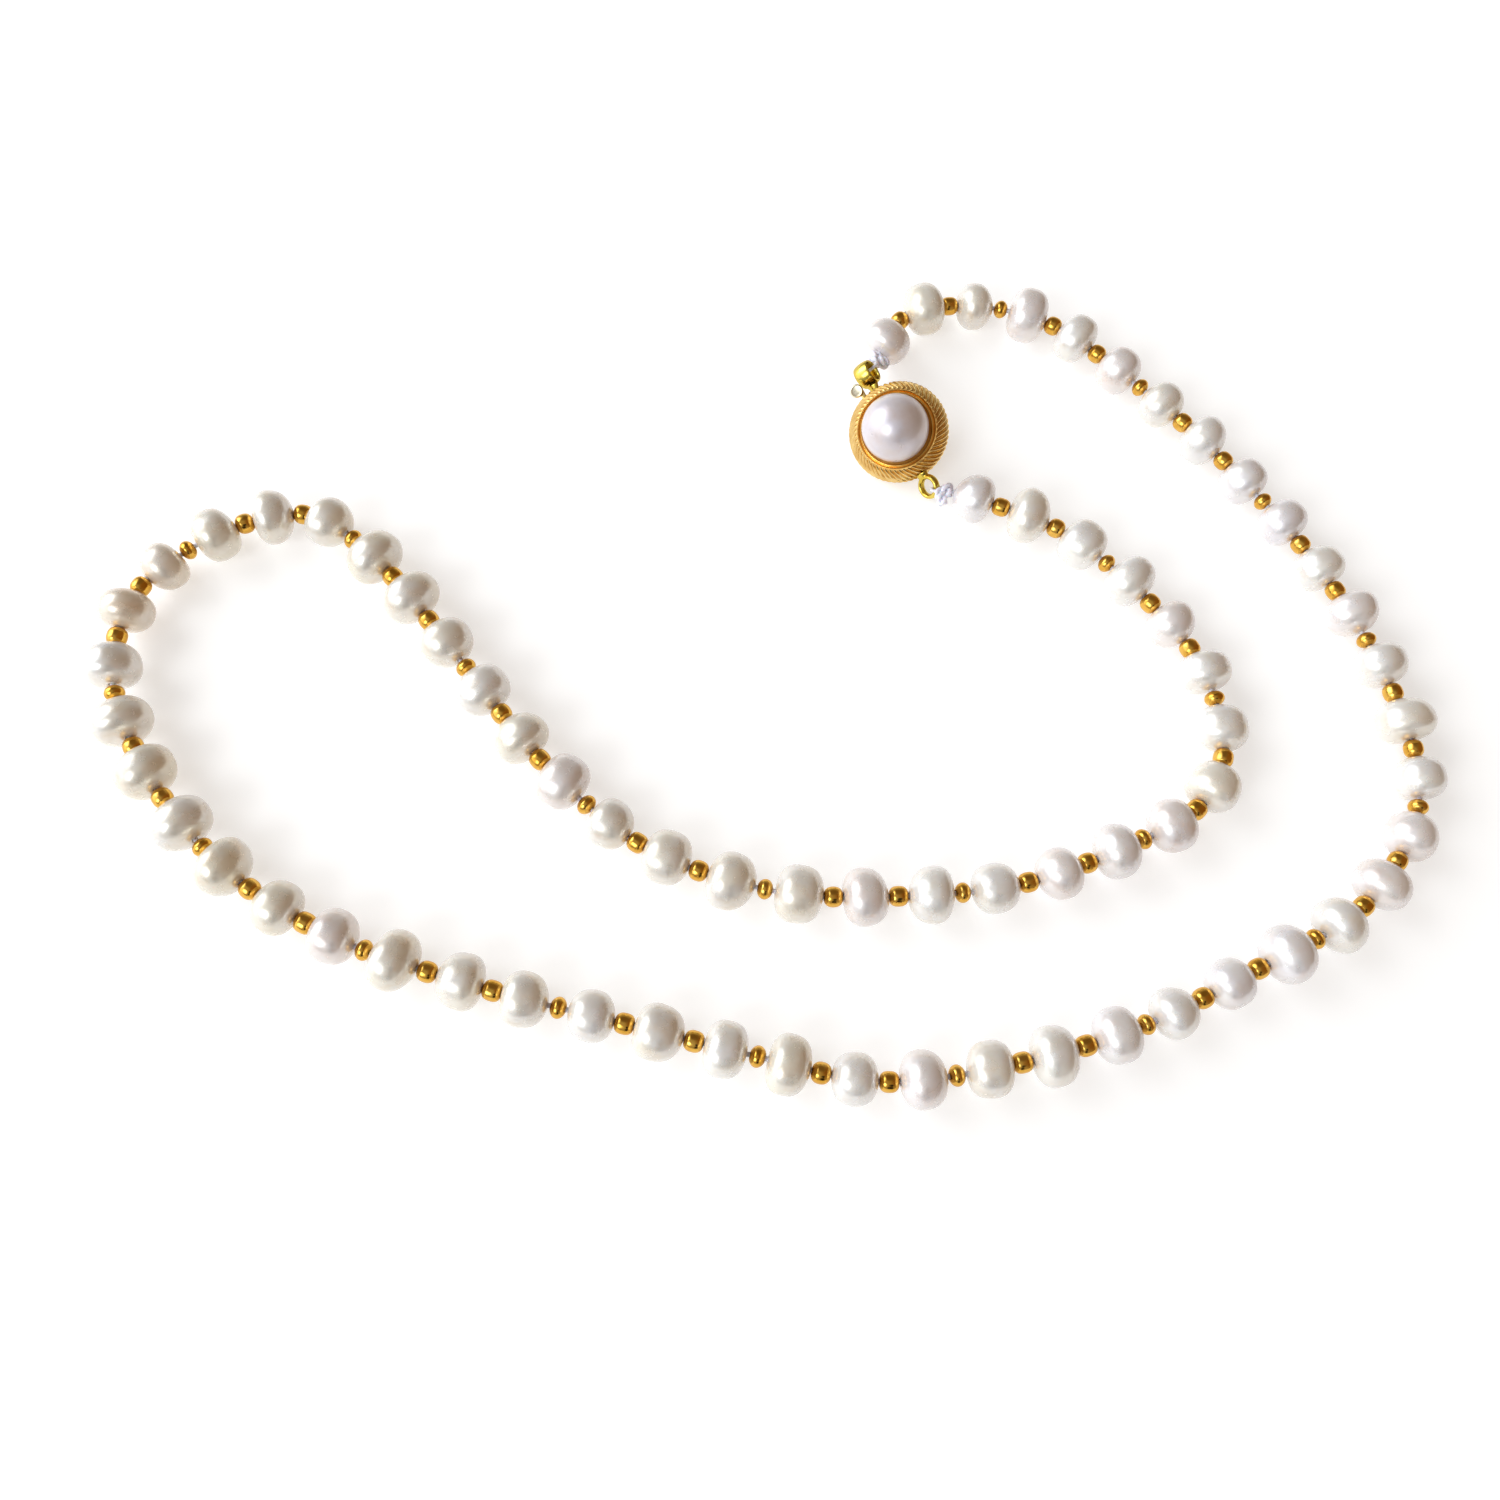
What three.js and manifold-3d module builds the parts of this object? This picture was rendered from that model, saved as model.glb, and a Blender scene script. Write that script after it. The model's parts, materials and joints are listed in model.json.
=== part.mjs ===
// A pearl necklace laid on a table in an open double loop: freshwater pearls strung with small gold
// spacer beads between them, closed by a push-in box clasp that carries one large pearl.
// Millimetres, +Z up, the table at z = 0.
import * as THREE from "three";
import { mergeVertices } from "three/addons/utils/BufferGeometryUtils.js";
import Module from "manifold-3d";

const wasm = await Module();
wasm.setup();

// ---------------------------------------------------------------- driving dimensions
const THREAD_DIAMETER = 0.5;
const THREAD_HEIGHT = 2.75;
const THREAD_STUB = 0.1; // thread left showing past the last pearl of a run

const SPACER_DIAMETER = 2.0;
const SPACER_LENGTH = 1.95;
const SPACER_END_DIAMETER = 1.35;
const SPACER_HOLE_DIAMETER = 0.8;
const BENDING_GAP = 0.28; // free thread at each end of a spacer that a run bends at

// A spacer's outline as [share of its length, diameter], and a pearl's as [share of its length,
// share of its width].
const SPACER_RINGS = [
  [-0.5, SPACER_END_DIAMETER],
  [-0.2, SPACER_DIAMETER],
  [0.2, SPACER_DIAMETER],
  [0.5, SPACER_END_DIAMETER],
];
const PEARL_RINGS = [
  [-0.43, 0.6],
  [-0.16, 1],
  [0.16, 1],
  [0.43, 0.6],
];
const BEAD_SIDES = 8;

const PEARL_ACROSS = { S: 5.0, M: 5.35, L: 5.65, X: 6.0 };
const PEARL_ALONG = { s: 4.05, m: 4.35, l: 4.65 };
const PEARLS_IN_A_RUN = 3;

// The pearls in stringing order, from the tongue's end of the clasp to the housing's end:
// how wide each one is across the thread, and how long along it.
const ACROSS_IN_ORDER =
  "MXMXLMMLMMMLLXMMLLXSSMLMLSLMMSMMXMMXXXXLLSLLMXXLLLLSMLLLLSMLMMMLMXMXM";
const ALONG_IN_ORDER =
  "mmsmsmmmmmmmmmmlmmlmmmmmmmsslmmmmmmmlmmmssmsmmmlmmlmlllmmlmmlllsmmlmm";

// The strand's route over the table, from the first pearl's middle to the last one's.
const ROUTE = [
  [14, 39], [16, 42], [22, 44], [28, 43.5], [34, 41], [43, 33], [51.5, 23], [58.5, 12.5],
  [63.5, 1], [66, -11.5], [65, -17.5], [61.5, -23], [57, -27.5], [45.5, -33.5],
  [34.5, -38.5], [22, -42], [9.5, -43.5], [-2.5, -41], [-14.5, -38], [-26.5, -35],
  [-39, -31], [-50, -25], [-59, -16], [-65, -5], [-65.5, 1], [-64, 6.5], [-59.5, 11],
  [-54, 14], [-48, 15], [-43, 12], [-38.5, 7.5], [-30.5, -2.5], [-22.5, -12.5],
  [-12.5, -21], [0, -25.5], [12.5, -26], [25, -24.5], [37, -20], [42.5, -17],
  [46, -11.5], [46, -5], [44, 1], [36, 11], [31, 15], [22.5, 18.5],
];

// The clasp leans on its tapered back. Its own frame has +Z out of the pearl's face and +X along
// the tongue, with the origin in the middle of the back plate's outer face.
const CLASP_PLACE = [15.2, 27.2];
const CLASP_LEAN = THREE.MathUtils.degToRad(30);
const CLASP_LEAN_HEADING = THREE.MathUtils.degToRad(237);
const CLASP_AXIS_HEADING = THREE.MathUtils.degToRad(120);

const CLASP_RADIUS = 5.5;
const BACK_RADIUS = 3.3;
const BACK_TAPER = 1.25; // height of the tapered back below the rope band
const SHELL_RADIUS = 4.7;
const SHELL_WALL = 0.45;
const FLOOR_LOW = 2.5;
const FLOOR_HIGH = 2.9;
const RIM_HEIGHT = 4.0;
const BEZEL_INNER_RADIUS = 4.25;
const CLASP_PEARL_RADIUS = 3.75;
const CLASP_PEARL_HEIGHT = 4.75;
const PEG_HOLE_RADIUS = 0.75;
const FIT_GAP = 0.3;

const TONGUE_THICKNESS = 0.3;
const TONGUE_LOW = 0.75;
const TONGUE_INNER_END = -2.6;
const TONGUE_OUTER_END = 5.9;
const TONGUE_HALF_WIDTH = 1.4;
const LEAF_RISE = THREE.MathUtils.degToRad(4);
const LEAF_LENGTH = 5.4;
const STEM_LENGTH = 3.1;
const STEM_HALF_WIDTH = 0.35;
const STEM_OFFSET = 1.15; // to the side of the eyelet, so that a thumb reaches the tab
const TAB_RADIUS = 0.75;
const TAB_OFFSET = 1.5;

const EYELET_OUTER = 1.35;
const EYELET_INNER = 0.8;
const EYELET_WIDTH = 0.9;
const TONGUE_EYELET_PLACE = 7.5;
const HOUSING_EYELET_PLACE = -6.9;
const TONGUE_EYELET_TURN = THREE.MathUtils.degToRad(70); // of its hole away from the clasp's face
const HOUSING_EYELET_TURN = THREE.MathUtils.degToRad(-40);

const LOOP_RADIUS = 0.9;
const LOOP_THREAD = 0.35;
const KNOT_RADIUS = 0.55;

// ---------------------------------------------------------------- materials
const material = (color, roughness, metalness) =>
  new THREE.MeshStandardMaterial({ color, roughness, metalness });

const PEARL_TONES = [0xf3ece4, 0xf4e6e2, 0xf2efdf, 0xefe9ee, 0xf5efe6];
const GOLD = 0xd9a441;
const PALE_GOLD = 0xd8bb5a;

// ---------------------------------------------------------------- solids
/** A closed geometry as a solid that can be joined and cut. */
function solidOf(geometry) {
  const bare = geometry.index ? geometry.toNonIndexed() : geometry.clone();
  bare.deleteAttribute("normal");
  bare.deleteAttribute("uv");
  const merged = mergeVertices(bare, 1e-4);
  return new wasm.Manifold(
    new wasm.Mesh({
      numProp: 3,
      vertProperties: merged.attributes.position.array,
      triVerts: new Uint32Array(merged.index.array),
    }),
  );
}

/** A solid's surface as a geometry that a mesh can hold. */
function geometryOf(solid) {
  const { vertProperties, triVerts } = solid.getMesh();
  const geometry = new THREE.BufferGeometry();
  geometry.setAttribute("position", new THREE.BufferAttribute(vertProperties, 3));
  geometry.setIndex(new THREE.BufferAttribute(triVerts, 1));
  geometry.computeVertexNormals();
  return geometry;
}

/** Several closed geometries joined into one. */
function join(geometries) {
  return geometryOf(geometries.map(solidOf).reduce((whole, piece) => whole.add(piece)));
}

/** A closed geometry with others cut out of it. */
function cut(geometry, tools) {
  return geometryOf(tools.map(solidOf).reduce((whole, tool) => whole.subtract(tool), solidOf(geometry)));
}

/** A turned solid about +Z, from an outline of [radius, height] points. */
function turned(outline, sides) {
  const points = outline.map(([radius, height]) => new THREE.Vector2(radius, height));
  return new THREE.LatheGeometry(points, sides).rotateX(Math.PI / 2);
}

/** A box from its lowest corner to its highest. */
function boxBetween([x0, y0, z0], [x1, y1, z1]) {
  return new THREE.BoxGeometry(x1 - x0, y1 - y0, z1 - z0).translate(
    (x0 + x1) / 2,
    (y0 + y1) / 2,
    (z0 + z1) / 2,
  );
}

/** A rotation that takes +Z to the given direction. */
function along(direction) {
  return new THREE.Quaternion().setFromUnitVectors(
    new THREE.Vector3(0, 0, 1),
    direction.clone().normalize(),
  );
}

/** A straight round rod between two points. */
function rod(from, to, diameter, sides) {
  const length = from.distanceTo(to);
  return new THREE.CylinderGeometry(diameter / 2, diameter / 2, length, sides)
    .rotateX(Math.PI / 2)
    .applyQuaternion(along(to.clone().sub(from)))
    .translate((from.x + to.x) / 2, (from.y + to.y) / 2, (from.z + to.z) / 2);
}

function meshOf(name, geometry, finish) {
  const mesh = new THREE.Mesh(geometry, finish);
  mesh.name = name;
  return mesh;
}

const numbered = (name, number) => `${name}_${String(number).padStart(2, "0")}`;

// ---------------------------------------------------------------- the strand
const route = new THREE.CatmullRomCurve3(
  ROUTE.map(([x, y]) => new THREE.Vector3(x, y, THREAD_HEIGHT)),
  false,
  "centripetal",
);
route.arcLengthDivisions = 4000;

/** The strand's pearls and spacers with their sizes and middles, in stringing order. */
function strungBeads() {
  const beads = [];
  let reach = 0;
  [...ACROSS_IN_ORDER].forEach((width, i) => {
    const length = PEARL_ALONG[ALONG_IN_ORDER[i]];
    if (i > 0) {
      beads.push({ kind: "spacer", length: SPACER_LENGTH, middle: reach + SPACER_LENGTH / 2 });
      reach += SPACER_LENGTH;
    }
    beads.push({ kind: "pearl", length, across: PEARL_ACROSS[width], middle: reach + length / 2 });
    reach += length;
  });
  return beads;
}

const strungInOrder = strungBeads();
const threadStart = strungInOrder.at(0).middle;
const threadSpan = strungInOrder.at(-1).middle - threadStart;
const routeScale = route.getLength() / threadSpan;

/** Where a distance along the thread lies on the table, and which way the thread runs there. */
function onRoute(distance) {
  const share = (distance - threadStart) / threadSpan;
  const held = THREE.MathUtils.clamp(share, 0, 1);
  const direction = route.getTangentAt(held);
  const past = (share - held) * threadSpan * routeScale;
  return { place: route.getPointAt(held).addScaledVector(direction, past), direction };
}

/** The outline of a run of beads along its thread, as [radius, distance] points from axis to axis. */
function runOutline(run) {
  const thread = THREAD_DIAMETER / 2;
  const start = run.at(0).middle - run.at(0).length / 2;
  const end = run.at(-1).middle + run.at(-1).length / 2;
  const outline = [[0, start - THREAD_STUB], [thread, start - THREAD_STUB], [thread, start]];
  for (const { kind, length, across, middle } of run) {
    const rings =
      kind === "pearl"
        ? PEARL_RINGS.map(([share, width]) => [(across / 2) * width, share])
        : SPACER_RINGS.map(([share, width]) => [width / 2, share]);
    rings.forEach(([radius, share]) => outline.push([radius, middle + share * length]));
  }
  outline.push([thread, end], [thread, end + THREAD_STUB], [0, end + THREAD_STUB]);
  return outline;
}

/** How far above the thread a pearl's middle sits, so that every pearl rests on the table. */
function pearlLift(run, distance) {
  const pearl = run.find(
    (bead) => bead.kind === "pearl" && Math.abs(distance - bead.middle) < 0.48 * bead.length,
  );
  return pearl ? pearl.across / 2 - THREAD_HEIGHT : 0;
}

/** A run of pearls with the spacers between them on one stretch of thread, bent along the route. */
function runGeometry(run) {
  const points = runOutline(run).map(([radius, distance]) => new THREE.Vector2(radius, distance));
  const geometry = new THREE.LatheGeometry(points, BEAD_SIDES);
  const vertices = geometry.getAttribute("position");
  const up = new THREE.Vector3(0, 0, 1);
  for (let i = 0; i < vertices.count; i += 1) {
    const distance = vertices.getY(i);
    const { place, direction } = onRoute(distance);
    const side = new THREE.Vector3().crossVectors(direction, up);
    place.addScaledVector(side, vertices.getX(i));
    place.addScaledVector(up, vertices.getZ(i) + pearlLift(run, distance));
    vertices.setXYZ(i, place.x, place.y, place.z);
  }
  geometry.computeVertexNormals();
  return geometry;
}

/** A spacer with its hole, about +Z. */
function drilledSpacer(length) {
  const hole = SPACER_HOLE_DIAMETER / 2;
  const outline = SPACER_RINGS.map(([share, width]) => [width / 2, share * length]);
  return turned([[hole, -length / 2], ...outline, [hole, length / 2], [hole, -length / 2]], BEAD_SIDES);
}

function makeStrand() {
  const strand = new THREE.Group();
  const beadsInARun = 2 * PEARLS_IN_A_RUN - 1;
  const goldFinish = material(GOLD, 0.18, 1);
  for (let start = 0, number = 1; start < strungInOrder.length; start += beadsInARun + 1, number += 1) {
    const run = strungInOrder.slice(start, start + beadsInARun);
    const heart = onRoute(run[PEARLS_IN_A_RUN - 1].middle).place;
    const geometry = runGeometry(run).translate(-heart.x, -heart.y, -heart.z);
    const tone = PEARL_TONES[number % PEARL_TONES.length];
    const pearls = meshOf(numbered("pearls", number), geometry, material(tone, 0.25, 0));
    pearls.position.copy(heart);
    strand.add(pearls);

    const bead = strungInOrder[start + beadsInARun];
    if (bead) {
      const { place, direction } = onRoute(bead.middle);
      const solid = drilledSpacer(bead.length - 2 * BENDING_GAP);
      const spacer = meshOf(numbered("spacer", number), solid, goldFinish);
      spacer.position.copy(place);
      spacer.quaternion.copy(along(direction));
      strand.add(spacer);
    }
  }
  return strand;
}

// ---------------------------------------------------------------- the clasp
const tongueSlot = () =>
  boxBetween(
    [2.0, -TONGUE_HALF_WIDTH - FIT_GAP, TONGUE_LOW - FIT_GAP],
    [CLASP_RADIUS + 1, TONGUE_HALF_WIDTH + FIT_GAP, FLOOR_LOW - FIT_GAP / 2],
  );

/** The tapered shell with the floor that parts the pearl's seat from the tongue's chamber. */
function housingShell() {
  const mouth = BACK_RADIUS - SHELL_WALL;
  const outline = [
    [0, FLOOR_LOW],
    [SHELL_RADIUS - SHELL_WALL, FLOOR_LOW],
    [SHELL_RADIUS - SHELL_WALL, BACK_TAPER],
    [mouth, 0],
    [BACK_RADIUS, 0],
    [SHELL_RADIUS, BACK_TAPER * 0.72],
    [SHELL_RADIUS, FLOOR_HIGH],
    [0, FLOOR_HIGH],
  ];
  return cut(turned(outline, 32), [tongueSlot()]);
}

/** The cast rope band round the shell. */
function ropeBand() {
  const inner = SHELL_RADIUS + FIT_GAP;
  const outline = [
    [inner, BACK_TAPER],
    [CLASP_RADIUS - 0.15, BACK_TAPER],
    [CLASP_RADIUS, BACK_TAPER + 0.25],
    [CLASP_RADIUS, BACK_TAPER + 0.9],
    [inner + 0.05, RIM_HEIGHT - 0.35],
    [inner, BACK_TAPER],
  ];
  return cut(turned(outline, 36), [tongueSlot()]);
}

/** The polished dish that the pearl is cemented into, with the bezel that stands up round it. */
function pearlCup() {
  const low = FLOOR_HIGH + FIT_GAP;
  const outer = SHELL_RADIUS - 0.02;
  return turned(
    [
      [PEG_HOLE_RADIUS, low],
      [outer, low],
      [outer + 0.2, RIM_HEIGHT - 0.15],
      [(BEZEL_INNER_RADIUS + outer) / 2, RIM_HEIGHT],
      [BEZEL_INNER_RADIUS, RIM_HEIGHT - 0.15],
      [BEZEL_INNER_RADIUS - 0.1, low + 0.45],
      [BEZEL_INNER_RADIUS - 0.9, low + 0.25],
      [PEG_HOLE_RADIUS, low + 0.25],
      [PEG_HOLE_RADIUS, low],
    ],
    32,
  );
}

/** The large pearl, round above and flattened where it sits in the dish. */
function claspPearl() {
  const seat = FLOOR_HIGH + 2 * FIT_GAP + 0.25;
  const sharp = new THREE.SphereGeometry(CLASP_PEARL_RADIUS, 20, 14)
    .rotateX(Math.PI / 2)
    .translate(0, 0, CLASP_PEARL_HEIGHT);
  const below = boxBetween([-9, -9, -9], [9, 9, seat]);
  const drill = new THREE.CylinderGeometry(0.5, 0.5, 3.2, 10).rotateX(Math.PI / 2).translate(0, 0, seat);
  return cut(sharp, [below, drill]);
}

/** A bail: a wide ring with a foot that meets the clasp. */
function eyelet(reach, turn) {
  const ring = turned(
    [
      [EYELET_INNER, -EYELET_WIDTH / 2],
      [EYELET_OUTER - 0.15, -EYELET_WIDTH / 2],
      [EYELET_OUTER, 0],
      [EYELET_OUTER - 0.15, EYELET_WIDTH / 2],
      [EYELET_INNER, EYELET_WIDTH / 2],
      [EYELET_INNER, -EYELET_WIDTH / 2],
    ],
    18,
  );
  const foot = boxBetween([-reach, -0.45, -0.35], [-EYELET_INNER - 0.15, 0.45, 0.35]);
  return join([ring.rotateX(turn), foot]);
}

/** The flat strip that pushes into the housing, turned up at its inner end. */
function tonguePlate() {
  const top = TONGUE_LOW + TONGUE_THICKNESS;
  const strip = boxBetween(
    [TONGUE_INNER_END, -TONGUE_HALF_WIDTH, TONGUE_LOW],
    [TONGUE_OUTER_END - 0.6, TONGUE_HALF_WIDTH, top],
  );
  const fold = boxBetween(
    [TONGUE_INNER_END, -TONGUE_HALF_WIDTH, TONGUE_LOW],
    [TONGUE_INNER_END + TONGUE_THICKNESS, TONGUE_HALF_WIDTH, top + 0.7],
  );
  return join([strip, fold]);
}

/** The sprung upper leaf with the stem that reaches out to the thumb tab, lying along +X. */
function springLeaf() {
  const leaf = boxBetween([0, -TONGUE_HALF_WIDTH, 0], [LEAF_LENGTH, TONGUE_HALF_WIDTH, TONGUE_THICKNESS]);
  const stem = boxBetween(
    [LEAF_LENGTH - 0.2, STEM_OFFSET - STEM_HALF_WIDTH, 0],
    [LEAF_LENGTH + STEM_LENGTH, STEM_OFFSET + STEM_HALF_WIDTH, TONGUE_THICKNESS],
  );
  return join([leaf, stem]);
}

/** The rounded tab that the thumb presses. */
function thumbTab() {
  return turned(
    [
      [0, 0],
      [TAB_RADIUS - 0.1, 0],
      [TAB_RADIUS, 0.15],
      [TAB_RADIUS - 0.2, 0.42],
      [0, 0.55],
    ],
    16,
  );
}

/** The clasp's own frame: leaning, with +X along the tongue. */
function claspFrame() {
  const face = new THREE.Vector3(
    Math.sin(CLASP_LEAN) * Math.cos(CLASP_LEAN_HEADING),
    Math.sin(CLASP_LEAN) * Math.sin(CLASP_LEAN_HEADING),
    Math.cos(CLASP_LEAN),
  );
  const level = new THREE.Vector3(Math.cos(CLASP_AXIS_HEADING), Math.sin(CLASP_AXIS_HEADING), 0);
  const axis = level.setZ(-level.dot(face) / face.z).normalize();
  const side = new THREE.Vector3().crossVectors(face, axis);
  return new THREE.Matrix4().makeBasis(axis, side, face);
}

const EYELET_HEIGHT = TONGUE_LOW + TONGUE_THICKNESS / 2;
const HOUSING_EYELET_HEIGHT = 2.0;

function makeClasp() {
  const gold = material(PALE_GOLD, 0.22, 1);
  const polished = material(GOLD, 0.1, 1);
  const clasp = new THREE.Group();

  clasp.add(meshOf("housing_shell", housingShell(), gold));
  clasp.add(meshOf("rope_band", ropeBand(), gold));
  clasp.add(meshOf("pearl_cup", pearlCup(), polished));
  clasp.add(meshOf("clasp_pearl", claspPearl(), material(0xe9dcd8, 0.22, 0)));

  const plateRadius = BACK_RADIUS - SHELL_WALL - FIT_GAP;
  const plate = turned([[0, 0], [plateRadius, 0], [plateRadius, 0.4], [0, 0.4]], 24);
  clasp.add(meshOf("back_plate", plate, gold));

  const pegLow = FLOOR_HIGH + FIT_GAP;
  const peg = turned([[0, pegLow], [0.3, pegLow], [0.3, pegLow + 1.5], [0, pegLow + 1.7]], 8);
  clasp.add(meshOf("pearl_peg", peg, gold));

  const fixedReach = -HOUSING_EYELET_PLACE - CLASP_RADIUS - FIT_GAP;
  const housingEyelet = meshOf("housing_eyelet", eyelet(fixedReach, -HOUSING_EYELET_TURN), gold);
  housingEyelet.position.set(HOUSING_EYELET_PLACE, 0, HOUSING_EYELET_HEIGHT);
  housingEyelet.rotation.z = Math.PI;
  clasp.add(housingEyelet);

  const movingReach = TONGUE_EYELET_PLACE - TONGUE_OUTER_END + 0.3;
  const tongueEyelet = meshOf("tongue_eyelet", eyelet(movingReach, TONGUE_EYELET_TURN), gold);
  tongueEyelet.position.set(TONGUE_EYELET_PLACE, 0, EYELET_HEIGHT);
  clasp.add(tongueEyelet);
  clasp.add(meshOf("tongue_plate", tonguePlate(), gold));

  const leafRoot = new THREE.Group();
  leafRoot.position.set(
    TONGUE_INNER_END + TONGUE_THICKNESS + FIT_GAP,
    0,
    TONGUE_LOW + TONGUE_THICKNESS + FIT_GAP,
  );
  leafRoot.rotation.y = -LEAF_RISE;
  leafRoot.add(meshOf("spring_leaf", springLeaf(), gold));
  const tab = meshOf("thumb_tab", thumbTab(), gold);
  tab.position.set(LEAF_LENGTH + STEM_LENGTH - 0.2, TAB_OFFSET, TONGUE_THICKNESS + FIT_GAP / 2);
  leafRoot.add(tab);
  clasp.add(leafRoot);

  clasp.applyMatrix4(claspFrame());
  clasp.position.set(CLASP_PLACE[0], CLASP_PLACE[1], 0);
  clasp.position.z = -new THREE.Box3().setFromObject(clasp, true).min.z;
  return clasp;
}

/**
 * One end of the thread: a loop through the eyelet, its knot, and the lead into the end pearl.
 * A second, smaller knot sits on the lead where there is room for it.
 */
function makeThreadEnd(name, eyeletMesh, holeTurn, pearl, inward) {
  const { place: pearlPlace, direction } = onRoute(pearl.middle);
  const hole = eyeletMesh.getWorldPosition(new THREE.Vector3());
  const holeAxis = new THREE.Vector3(0, 0, 1)
    .applyAxisAngle(new THREE.Vector3(1, 0, 0), holeTurn)
    .applyQuaternion(eyeletMesh.getWorldQuaternion(new THREE.Quaternion()));
  const faceOffset = pearl.length / 2 + THREAD_STUB + FIT_GAP;
  const entry = pearlPlace.addScaledVector(direction, -inward * faceOffset).sub(hole);
  const outward = entry.clone().addScaledVector(holeAxis, -entry.dot(holeAxis)).normalize();

  const loopMiddle = outward.clone().multiplyScalar((EYELET_INNER + EYELET_OUTER) / 2);
  const loopTurn = new THREE.Matrix4()
    .makeBasis(outward, holeAxis, new THREE.Vector3().crossVectors(outward, holeAxis))
    .setPosition(loopMiddle);
  const loop = new THREE.TorusGeometry(LOOP_RADIUS, LOOP_THREAD / 2, 5, 12).applyMatrix4(loopTurn);

  const knotPlace = loopMiddle.clone().addScaledVector(outward, LOOP_RADIUS + KNOT_RADIUS * 0.5);
  const way = entry.clone().sub(knotPlace);
  const pieces = [loop, rod(knotPlace, entry, THREAD_DIAMETER, 6)];
  const knots = way.length() > 3 * KNOT_RADIUS ? [0, 0.5] : [0];
  for (const share of knots) {
    const place = knotPlace.clone().addScaledVector(way, share);
    pieces.push(
      new THREE.SphereGeometry(KNOT_RADIUS, 7, 5)
        .scale(1, 1.1, 0.85)
        .translate(place.x, place.y, place.z),
    );
  }
  const end = meshOf(name, join(pieces), material(0xf3eef2, 0.7, 0));
  end.position.copy(hole);
  return end;
}

// ---------------------------------------------------------------- the necklace
const necklace = new THREE.Group();
const strand = makeStrand();
const clasp = makeClasp();
necklace.add(strand, clasp);
clasp.updateMatrixWorld(true);
const [first, last] = [strungInOrder.at(0), strungInOrder.at(-1)];
necklace.add(
  makeThreadEnd("thread_end_a", clasp.getObjectByName("tongue_eyelet"), TONGUE_EYELET_TURN, first, 1),
  makeThreadEnd("thread_end_b", clasp.getObjectByName("housing_eyelet"), -HOUSING_EYELET_TURN, last, -1),
);

// The origin is the middle of the space that the necklace takes up on the table.
const extent = new THREE.Box3().setFromObject(necklace, true);
const middle = extent.getCenter(new THREE.Vector3());
necklace.position.set(-middle.x, -middle.y, -extent.min.z);

export default necklace;
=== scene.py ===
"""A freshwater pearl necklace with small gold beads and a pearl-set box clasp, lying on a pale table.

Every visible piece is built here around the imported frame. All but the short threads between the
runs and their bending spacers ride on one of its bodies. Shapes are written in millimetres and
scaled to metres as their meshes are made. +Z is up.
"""

import json
import math
import random

import bmesh
import bpy
import numpy as np
from mathutils import Matrix, Vector, noise


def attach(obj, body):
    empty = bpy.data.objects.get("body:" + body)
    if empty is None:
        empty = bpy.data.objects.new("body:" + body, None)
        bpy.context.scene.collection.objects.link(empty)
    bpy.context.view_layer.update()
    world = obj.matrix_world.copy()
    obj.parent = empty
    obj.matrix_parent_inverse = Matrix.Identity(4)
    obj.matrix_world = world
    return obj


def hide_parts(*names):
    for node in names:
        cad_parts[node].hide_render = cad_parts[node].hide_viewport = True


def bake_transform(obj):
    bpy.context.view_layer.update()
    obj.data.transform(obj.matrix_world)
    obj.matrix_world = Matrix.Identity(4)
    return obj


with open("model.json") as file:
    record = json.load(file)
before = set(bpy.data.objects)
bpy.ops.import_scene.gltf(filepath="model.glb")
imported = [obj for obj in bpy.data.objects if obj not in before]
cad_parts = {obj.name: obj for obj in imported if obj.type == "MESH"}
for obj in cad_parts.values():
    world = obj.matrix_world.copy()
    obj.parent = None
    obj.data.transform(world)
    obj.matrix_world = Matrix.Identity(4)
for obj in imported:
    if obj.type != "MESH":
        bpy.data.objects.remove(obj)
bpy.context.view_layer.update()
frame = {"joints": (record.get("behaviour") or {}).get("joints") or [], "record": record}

MM = 0.001
joints = {joint["name"]: joint for joint in frame["joints"]}
Z = Vector((0, 0, 1))


def in_mm(point):
    """A point of the record, which is in metres, in millimetres."""
    return Vector(point) / MM


# ------------------------------------------------------------------ dimensions, in millimetres
PEARL_ACROSS = {"S": 5.0, "M": 5.35, "L": 5.65, "X": 6.0}
PEARL_ALONG = {"s": 4.05, "m": 4.35, "l": 4.65}
SPACER_LENGTH = 1.95
SPACER_RADIUS = 1.02
SPACER_HALF = 0.97
BENDING_SPACER_HALF = 0.8  # of the spacers that bend against their neighbours
THREAD_RADIUS = 0.25
HOLE_RADIUS = 0.32
BEADS_TO_A_RUN = 6  # three pearls, the two spacers between them, and the spacer that bends

# Places along the thread, from the middle of the spacer that bends.
SPACER_THREAD_REACH = 0.62  # each way, for the thread that rides on the spacer itself
BENDING_THREAD_START = 0.6  # of a bending thread, and as far from the next pearl's middle
PARTING = 1.0  # where the thread is cut at the open pivot
PARTING_GAP = 0.02

# The pearls in stringing order from the tongue's end of the clasp: width, length and tone, each
# measured in the photo and rounded to the steps above and the tones below.
ACROSS_IN_ORDER = "MXMXLMMLMMMLLXMMLLXSSMLMLSLMMSMMXMMXXXXLLSLLMXXLLLLSMLLLLSMLMMMLMXMXM"
ALONG_IN_ORDER = "mmsmsmmmmmmmmmmlmmlmmmmmmmsslmmmmmmmlmmmssmsmmmlmmlmlllmmlmmlllsmmlmm"
TONE_IN_ORDER = "pgcpwpcwsswpwcwppwsswswcpwgwcwccgpggcgcwttgccgccwgpccccpwwpspcwwpwwcs"
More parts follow.
